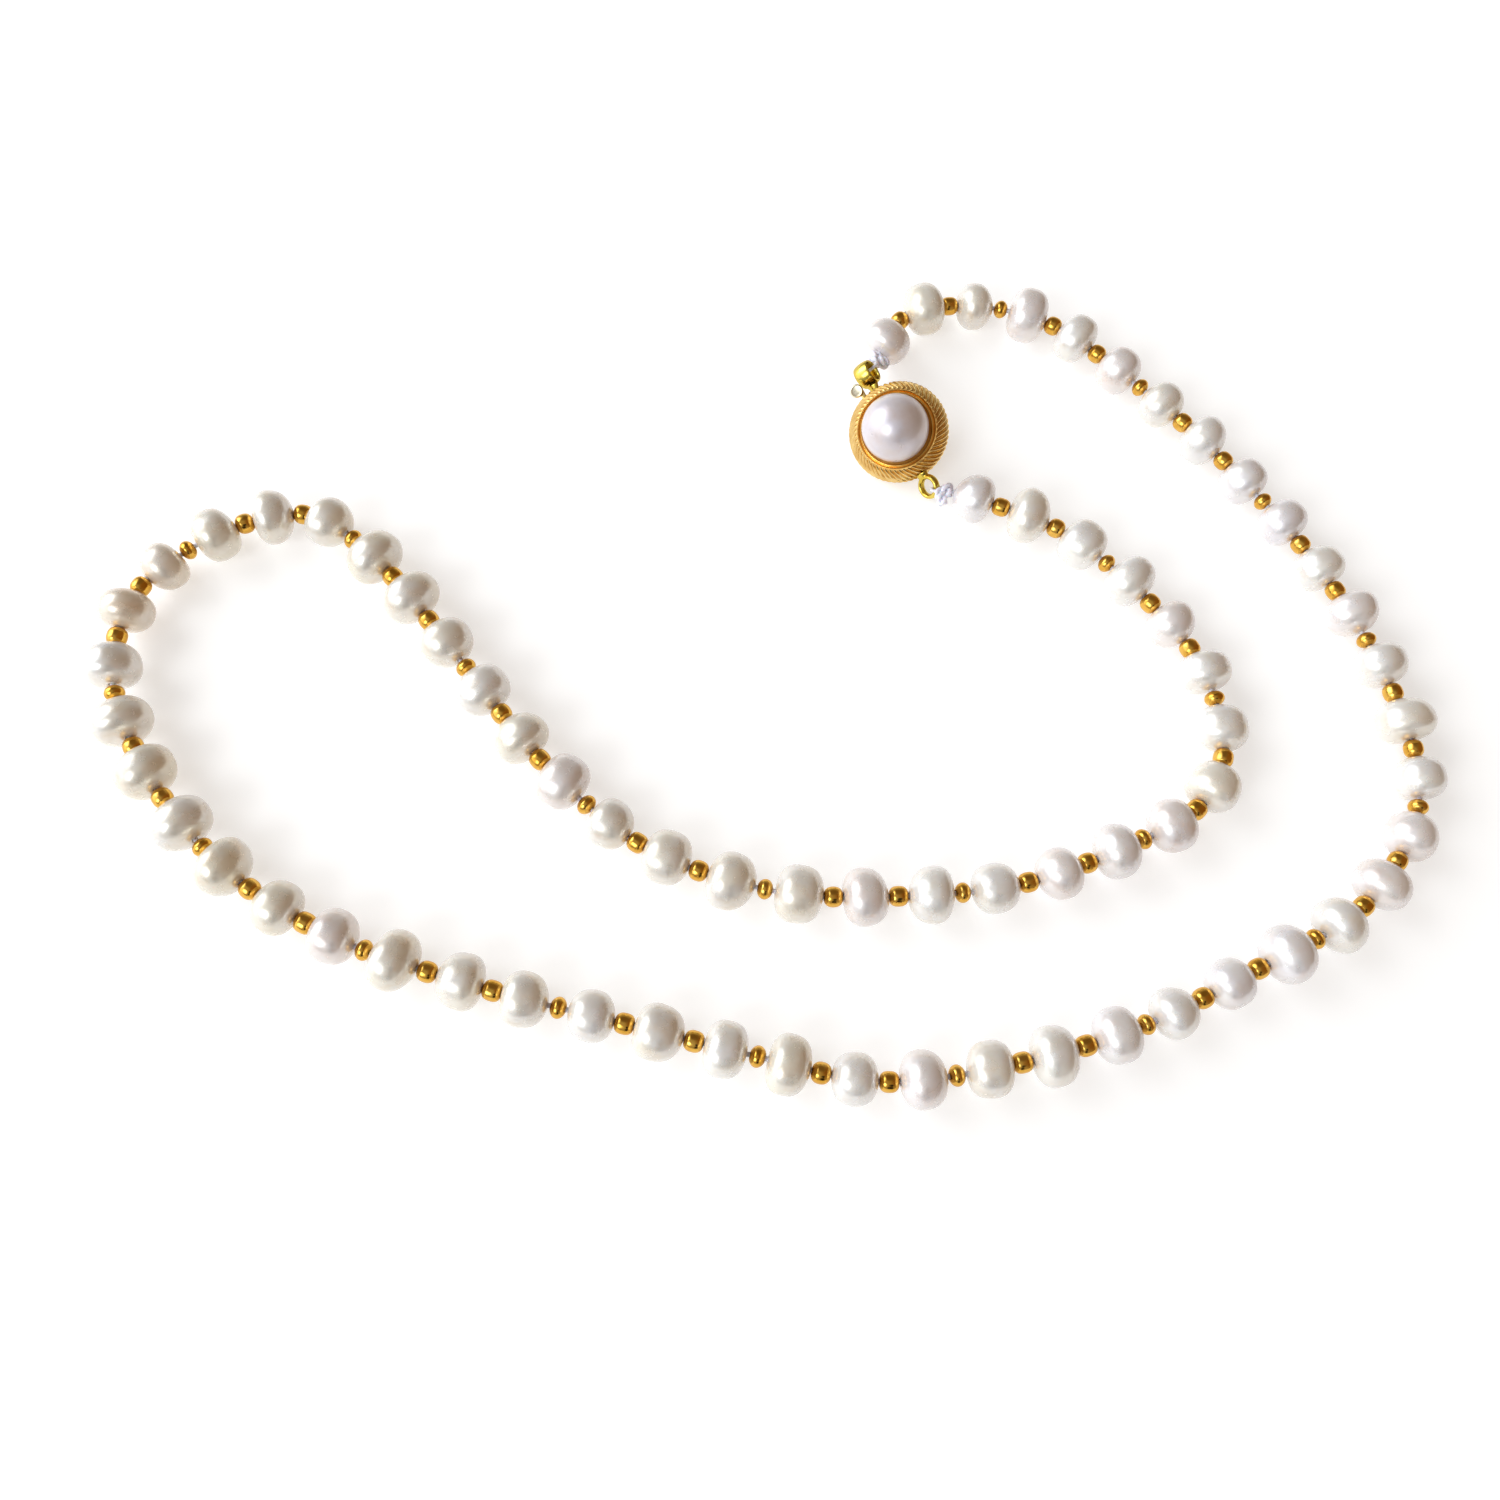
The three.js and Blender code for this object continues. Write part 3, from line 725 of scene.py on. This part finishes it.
def make_band():
    """The rope band: slanted flutes round the flank."""
    inner = SHELL_RADIUS + 0.12
    flank = catmull_rom(
        [
            (5.25, BAND_LOW), (5.47, 1.55), (BAND_RADIUS, 2.0), (5.33, 2.65), (5.0, 3.2),
            (4.65, 3.68), (BEZEL_RADIUS + 0.1, 3.86),
        ],
        8,
    )
    lengths = np.concatenate([[0], np.cumsum(np.linalg.norm(np.diff(flank, axis=0), axis=1))])
    turns = np.linspace(0, 2 * math.pi, BAND_FLUTES * 12, endpoint=False)
    rows = []
    for i, (radius, height) in enumerate(flank):
        run = flank[min(i + 1, len(flank) - 1)] - flank[max(i - 1, 0)]
        outward = np.array([run[1], -run[0]]) / np.linalg.norm(run)
        share = lengths[i] / lengths[-1]
        fade = min(1.0, 9 * share, 9 * (1 - share))
        ridge = np.abs(np.sin(0.5 * (BAND_FLUTES * turns + 2 * math.pi * FLUTE_LEAN * share)))
        depth = -FLUTE_DEPTH * fade * (1 - ridge**0.8)
        r, z = radius + outward[0] * depth, height + outward[1] * depth
        rows.append(np.stack([r * np.cos(turns), r * np.sin(turns), z], axis=1))
    for radius, height in (
        (BEZEL_RADIUS + 0.08, 3.8), (BEZEL_RADIUS + 0.08, 3.3), (inner, 3.0), (inner, BAND_LOW),
    ):
        flat = np.full(len(turns), height)
        rows.append(np.stack([radius * np.cos(turns), radius * np.sin(turns), flat], axis=1))
    part = np.concatenate(rows), grid_faces(len(rows), len(turns))
    band = piece_of("detailed_rope_band", *placed_on_clasp(part), CLASP_GOLD)
    cut_slot(band)
    return finish_piece(band, "clasp", "clasp_gold", "rope_band")


def make_cup():
    """The polished dish, with a stepped bezel round the pearl."""
    low = 3.2
    rim = BEZEL_RADIUS + 0.12
    outline = arc_corners(
        [
            (0.75, low), (rim, low), (rim, 3.84), (rim - 0.1, 4.02), (rim - 0.22, 3.86),
            (4.07, 3.66), (3.99, 3.6), (3.94, 3.72), (3.85, 3.73), (3.8, 3.58), (3.6, 3.5),
            (0.75, 3.42),
        ],
        0.1,
    )
    part = placed_on_clasp(lathe(outline, 128))
    cup = piece_of("detailed_pearl_cup", *part, BEZEL_GOLD, sharp=1.2)
    return finish_piece(cup, "clasp", "polished_gold", "pearl_cup")


def make_clasp_pearl():
    """The large pearl, sunk in its dish."""
    dice = random.Random(11)
    shift = Vector([dice.uniform(-9, 9) for _ in range(3)])
    lowest = math.acos((CLASP_PEARL_SEAT - CLASP_PEARL_HEIGHT) / CLASP_PEARL_RADIUS)
    polar = np.linspace(lowest, 0.02, 48)
    sides = 72
    rows = []
    for angle in polar:
        for j in range(sides):
            turn = 2 * math.pi * j / sides
            direction = Vector(
                (math.sin(angle) * math.cos(turn), math.sin(angle) * math.sin(turn), math.cos(angle))
            )
            radius = CLASP_PEARL_RADIUS * (1 + 0.006 * noise.noise(direction * 1.4 + shift))
            rows.append(direction * radius + Vector((0, 0, CLASP_PEARL_HEIGHT)))
    faces = grid_faces(len(polar), sides, wrap_rows=False)
    top = CLASP_PEARL_HEIGHT + CLASP_PEARL_RADIUS
    rows += [Vector((0, 0, CLASP_PEARL_SEAT)), Vector((0, 0, top))]
    low, high, last = len(rows) - 2, len(rows) - 1, (len(polar) - 1) * sides
    faces += [((j + 1) % sides, j, low) for j in range(sides)]
    faces += [(last + j, last + (j + 1) % sides, high) for j in range(sides)]
    pearl = piece_of("detailed_clasp_pearl", *placed_on_clasp((rows, faces)), CLASP_NACRE)
    return finish_piece(pearl, "clasp", "clasp_pearl", "clasp_pearl")


def make_back():
    """The plate that closes the housing, and the peg that the pearl is cemented on."""
    radius = BACK_RADIUS - 0.6
    outline = [
        (0.01, 0.0), (radius - 0.1, 0.0), (radius, 0.08),
        (radius, 0.32), (radius - 0.08, 0.4), (0.01, 0.4),
    ]
    plate = piece_of("detailed_back_plate", *placed_on_clasp(capped_lathe(outline, 72)), CLASP_GOLD)
    finish_piece(plate, "clasp", "clasp_gold", "back_plate")
    outline = [(0.01, 3.2), (0.3, 3.2), (0.3, 4.7), (0.24, 4.85), (0.01, 4.9)]
    peg = piece_of("detailed_pearl_peg", *placed_on_clasp(capped_lathe(outline, 24)), CLASP_GOLD)
    finish_piece(peg, "clasp", "clasp_gold", "pearl_peg")


def bevelled_box(low, high, bevel=0.06):
    """A box with rounded edges, as points and faces."""
    low, high = np.array(low, float), np.array(high, float)
    half = (high - low) / 2
    outline = arc_corners(
        [(-half[0], -half[1]), (half[0], -half[1]), (half[0], half[1]), (-half[0], half[1])],
        0.25, 6,
    )
    rows = []
    for inset, height in (
        (bevel, -half[2]), (0, -half[2] + bevel), (0, half[2] - bevel), (bevel, half[2]),
    ):
        scale = 1 - inset / half[:2]
        rows += [(p[0] * scale[0], p[1] * scale[1], height) for p in outline]
    sides = len(outline)
    faces = grid_faces(4, sides, wrap_rows=False)
    faces.append(tuple(range(sides))[::-1])
    faces.append(tuple(3 * sides + j for j in range(sides)))
    return np.array(rows) + (low + high) / 2, faces


def make_tongue():
    """The flat tongue, with its inner end turned up where the leaf springs from it."""
    top = TONGUE_LOW + TONGUE_THICKNESS
    low = (TONGUE_INNER, -TONGUE_HALF_WIDTH, TONGUE_LOW)
    flat_high = (TONGUE_OUTER, TONGUE_HALF_WIDTH, top)
    lip_high = (TONGUE_LIP, TONGUE_HALF_WIDTH, top + TONGUE_LIP_RISE)
    plate = cast(
        "detailed_tongue_plate",
        [placed_on_clasp(bevelled_box(low, high)) for high in (flat_high, lip_high)],
        CLASP_GOLD, smoothing=2,
    )
    finish_piece(plate, "tongue", "clasp_gold", "tongue_plate")


def make_leaf():
    """The sprung leaf with its stem, and the tab that a thumb presses, at the leaf's own slope."""
    root = CLASP.inverted() @ in_mm(joints["tab_press"]["pos_m"])
    slope = Matrix.Translation(root) @ Matrix.Rotation(-LEAF_SLOPE, 4, "Y")
    blade = bevelled_box(
        (0, -TONGUE_HALF_WIDTH, 0), (LEAF_LENGTH, TONGUE_HALF_WIDTH, LEAF_THICKNESS)
    )
    stem = bevelled_box(STEM_LOW, STEM_HIGH)
    leaf = cast(
        "detailed_spring_leaf",
        [placed_on_clasp(turned_by(part, slope)) for part in (blade, stem)],
        CLASP_GOLD, smoothing=2,
    )
    finish_piece(leaf, "spring_leaf", "clasp_gold", "spring_leaf")
    outline = [
        (0.01, 0.0), (0.66, 0.0), (0.74, 0.06), (0.75, 0.14), (0.71, 0.24), (0.6, 0.29),
        (0.5, 0.25), (0.3, 0.23), (0.01, 0.22),
    ]
    part = turned_by(capped_lathe(outline, 40), slope @ Matrix.Translation(TAB_MIDDLE))
    # The tab's colour holds a painted highlight: its gold is lightened nearly to white for the glint.
    tab = piece_of("detailed_thumb_tab", *placed_on_clasp(part), GLINT_PALE_TAB_GOLD)
    finish_piece(tab, "spring_leaf", "clasp_gold", "thumb_tab")


def ring_part(joint, radius, tube, width, sides=48, round_sides=20):
    """A ring about a swivel's axis, in the necklace's frame: width is measured along its hole."""
    centre = in_mm(joint["pos_m"])
    axis = Vector(joint["axis"]).normalized()
    across = axis.orthogonal().normalized()
    other = axis.cross(across)
    rows = []
    for i in range(sides):
        turn = 2 * math.pi * i / sides
        outward = across * math.cos(turn) + other * math.sin(turn)
        for j in range(round_sides):
            angle = 2 * math.pi * j / round_sides
            rows.append(
                centre
                + outward * (radius + tube / 2 * math.cos(angle))
                + axis * width / 2 * math.sin(angle)
            )
    return [tuple(point) for point in rows], grid_faces(sides, round_sides)


def neck_part(start, end, start_size, end_size, side):
    """A tapered neck from the clasp to an eyelet: sizes are (half width along side, half thickness)."""
    steps = 14
    direction = (end - start).normalized()
    level = (side - direction * side.dot(direction)).normalized()
    thick = direction.cross(level)
    rows = []
    for i in range(steps):
        share = i / (steps - 1)
        ease = share * share * (3 - 2 * share)
        middle = start.lerp(end, share)
        half_width = start_size[0] + (end_size[0] - start_size[0]) * ease
        half_thick = start_size[1] + (end_size[1] - start_size[1]) * ease
        for j in range(20):
            angle = 2 * math.pi * j / 20
            rows.append(
                middle + level * half_width * math.cos(angle) + thick * half_thick * math.sin(angle)
            )
    faces = grid_faces(steps, 20, wrap_rows=False)
    faces.append(tuple(range(20))[::-1])
    faces.append(tuple((steps - 1) * 20 + j for j in range(20)))
    return [tuple(point) for point in rows], faces


def make_eyelets():
    """The small eyelet on the housing and the broad bail on the tongue, each with its neck."""
    housing = joints["housing_swivel"]
    centre = in_mm(housing["pos_m"])
    axis = Vector(housing["axis"]).normalized()
    lug = CLASP @ Vector(HOUSING_LUG)
    outward = (lug - centre).normalized()
    eyelet = cast(
        "detailed_housing_eyelet",
        [
            ring_part(housing, RING_RADIUS, RING_THICKNESS, RING_WIDTH),
            neck_part(lug, centre + outward * 1.0, (0.8, 0.6), (0.62, 0.4), axis.cross(outward)),
        ],
        EYELET_GOLD,
    )
    finish_piece(eyelet, "clasp", "clasp_gold", "housing_eyelet")

    tongue = joints["tongue_swivel"]
    centre = in_mm(tongue["pos_m"])
    axis = Vector(tongue["axis"]).normalized()
    lug = CLASP @ Vector(TONGUE_LUG)
    outward = (lug - centre).normalized()
    eyelet = cast(
        "detailed_tongue_eyelet",
        [
            ring_part(tongue, BAIL_RADIUS, BAIL_THICKNESS, BAIL_WIDTH),
            neck_part(lug, centre + outward * 1.15, (0.5, 0.3), (0.75, 0.34), axis),
        ],
        EYELET_GOLD,
    )
    finish_piece(eyelet, "tongue", "clasp_gold", "tongue_eyelet")


def knot_path(middle, along, level, size):
    """An overhand knot's closed path about a middle."""
    up = level.cross(along)
    path = []
    for t in np.linspace(0, 2 * math.pi, 72, endpoint=False):
        reach = size * (2 + math.cos(3 * t))
        path.append(
            middle
            + level * reach * math.cos(2 * t)
            + up * 0.85 * reach * math.sin(2 * t)
            + along * size * 1.5 * math.sin(3 * t)
        )
    return path


def make_thread_end(name, joint_name, body, mouth, radius, thickness, width, replaced):
    """The loop round an eyelet's far side, its knots, and the lead into the end pearl."""
    joint = joints[joint_name]
    hole, axis = in_mm(joint["pos_m"]), Vector(joint["axis"]).normalized()
    way = mouth - hole
    outward = (way - axis * way.dot(axis)).normalized()
    metal = hole + outward * radius
    loop = [
        metal
        + outward * (thickness / 2 + 0.24) * math.cos(t)
        + axis * (width / 2 + 0.2) * math.sin(t)
        for t in np.linspace(0, 2 * math.pi, 48, endpoint=False)
    ]
    parts = [sweep(loop, lambda i: two_ply(0.18, turn=0.7 * i), closed=True)]
    leave = metal + outward * (thickness / 2 + 0.2)
    along = (mouth - leave).normalized()
    level = along.cross(Z).normalized()
    lead = [leave.lerp(mouth + along * 0.7, share) for share in np.linspace(0, 1, 14)]
    parts.append(sweep(lead, lambda i: two_ply(THREAD_RADIUS, turn=0.6 * i)))
    first = mouth - along * 0.78
    for middle, size in (
        (first, KNOT_SIZE),
        (first + level * 0.95 - along * 0.3 - Z * 0.1, KNOT_SIZE * 0.95),
        (first - along * 0.75 + level * 0.35, KNOT_SIZE * 0.8),
    ):
        path = knot_path(middle, along, level, size)
        parts.append(sweep(path, lambda i: two_ply(size * 1.1, turn=0.5 * i), closed=True))
    end = piece_of(name, *merged(parts), SILK, sharp=3)
    return finish_piece(end, body, "thread", replaced)


def make_clasp():
    make_shell()
    make_band()
    make_cup()
    make_clasp_pearl()
    make_back()
    make_tongue()
    make_leaf()
    make_eyelets()
    first, last = BEADS[0], BEADS[-1]
    make_thread_end(
        "thread_end_tongue", "tongue_swivel", "pearls_01",
        thread_at(first["middle"] - first["along"] / 2), BAIL_RADIUS, BAIL_THICKNESS, BAIL_WIDTH,
        "thread_end_a",
    )
    make_thread_end(
        "thread_end_housing", "housing_swivel", "pearls_23",
        thread_at(last["middle"] + last["along"] / 2), RING_RADIUS, RING_THICKNESS, RING_WIDTH,
        "thread_end_b",
    )


# ------------------------------------------------------------------ camera, floor and light
# Fitted to the photo. Distances here are in metres, the lens and sensor in millimetres.
CAMERA_ELEVATION = math.radians(68.5)
CAMERA_TURN = math.radians(-7.86)  # of the camera's stand round from -Y
CAMERA_ROLL = math.radians(7.8)
CAMERA_DISTANCE = 0.1376
CAMERA_TARGET = Vector((-0.00215, -0.01126, 0.00275))
LENS = 33.12
SENSOR = 36.0
FLOOR_REACH = 1.5
LAMP_DISTANCE = 1.2


def make_camera():
    """The camera's axes, as right, up and back, after it is made and chosen."""
    back = Vector(
        (
            math.cos(CAMERA_ELEVATION) * math.sin(CAMERA_TURN),
            -math.cos(CAMERA_ELEVATION) * math.cos(CAMERA_TURN),
            math.sin(CAMERA_ELEVATION),
        )
    )
    level = Z.cross(back).normalized()
    right = Matrix.Rotation(CAMERA_ROLL, 3, back) @ level
    up = back.cross(right)
    data = bpy.data.cameras.new("camera")
    data.lens, data.sensor_width = LENS, SENSOR
    data.clip_start = 0.005
    camera = bpy.data.objects.new("camera", data)
    bpy.context.scene.collection.objects.link(camera)
    turn = Matrix((right, up, back)).transposed().to_4x4()
    camera.matrix_world = Matrix.Translation(CAMERA_TARGET + back * CAMERA_DISTANCE) @ turn
    bpy.context.scene.camera = camera
    return right, up, back


def make_floor():
    """The pale table, which gives off a little light as the photo's blown-out background does."""
    mesh = bpy.data.meshes.new("table")
    corners = [(-1, -1), (1, -1), (1, 1), (-1, 1)]
    mesh.from_pydata([(x * FLOOR_REACH, y * FLOOR_REACH, 0) for x, y in corners], [], [(0, 1, 2, 3)])
    material, surface = shader("light_table", Roughness=0.6, Emission_Strength=0.5)
    surface.inputs["Emission Color"].default_value = (1, 1, 1, 1)
    colour = colour_mix(material, grain(material, 20, 2), (0.68, 0.68, 0.68), (0.7, 0.7, 0.7))
    wire(material, colour, surface.inputs["Base Color"])
    new_object("table", mesh, material)


def make_light(right, up, back):
    """The room as soft patches of light round the camera's axes, and two window lamps."""
    world = bpy.data.worlds.new("studio")
    bpy.context.scene.world = world
    world.use_nodes = True
    tree = world.node_tree
    background = tree.nodes["Background"]
    place = tree.nodes.new("ShaderNodeTexCoord")

    def patch(direction, inner, outer):
        """1 within inner degrees of a direction, falling to 0 at outer degrees."""
        dot = tree.nodes.new("ShaderNodeVectorMath")
        dot.operation = "DOT_PRODUCT"
        dot.inputs[1].default_value = direction.normalized()
        tree.links.new(place.outputs["Generated"], dot.inputs[0])
        ramp = tree.nodes.new("ShaderNodeMapRange")
        ramp.interpolation_type = "SMOOTHSTEP"
        ramp.inputs["From Min"].default_value = math.cos(math.radians(outer))
        ramp.inputs["From Max"].default_value = math.cos(math.radians(inner))
        tree.links.new(dot.outputs["Value"], ramp.inputs["Value"])
        return ramp.outputs["Result"]

    def mixed(factor, first, second):
        """A blend of two colours in the world, either of which may be a socket."""
        mix = tree.nodes.new("ShaderNodeMix")
        mix.data_type = "RGBA"
        inputs = {socket.identifier: socket for socket in mix.inputs}
        tree.links.new(factor, inputs["Factor_Float"])
        for key, colour in (("A_Color", first), ("B_Color", second)):
            if isinstance(colour, bpy.types.NodeSocket):
                tree.links.new(colour, inputs[key])
            else:
                inputs[key].default_value = (*colour, 1)
        return next(s for s in mix.outputs if s.identifier == "Result_Color")

    def toward(x, y, z):
        return (right * x + up * y + back * z).normalized()

    colour = (0.5, 0.5, 0.49)
    far_window, near_window = toward(-0.77, 0.5, 0.4), toward(-0.56, -0.3, 0.77)
    for direction, inner, outer, tint in (
        (toward(0.85, 0.2, 0.45), 20, 74, (0.27, 0.15, 0.06)),
        (toward(0.05, 0.85, 0.5), 14, 44, (0.2, 0.15, 0.1)),
        (toward(-0.97, 0.0, 0.12), 12, 44, (1.7, 1.8, 1.95)),
        (far_window, 14, 36, (2.0, 2.1, 2.2)),
        (near_window, 9, 26, (1.8, 1.9, 2.0)),
        (toward(0.22, -0.42, 0.88), 7, 15, (0.02, 0.015, 0.01)),
        (toward(0.12, -0.78, 0.62), 8, 19, (0.03, 0.02, 0.015)),
    ):
        colour = mixed(patch(direction, inner, outer), colour, tint)
    tree.links.new(colour, background.inputs["Color"])
    background.inputs["Strength"].default_value = 1.0

    for name, direction, size, watts in (
        ("window_far", far_window, 0.7, 4.6),
        ("window_near", near_window, 0.5, 3),
    ):
        data = bpy.data.lights.new(name, "AREA")
        data.shape = "RECTANGLE"
        data.size, data.size_y = size, size
        data.energy = watts
        data.color = (0.94, 0.97, 1.0)
        lamp = bpy.data.objects.new(name, data)
        bpy.context.scene.collection.objects.link(lamp)
        facing = direction.to_track_quat("Z", "Y").to_matrix().to_4x4()
        lamp.matrix_world = Matrix.Translation(direction * LAMP_DISTANCE) @ facing


right, up, back = make_camera()
make_floor()
make_light(right, up, back)
make_strand()
make_bending_threads()
make_clasp()
bpy.context.scene.view_settings.view_transform = "Standard"
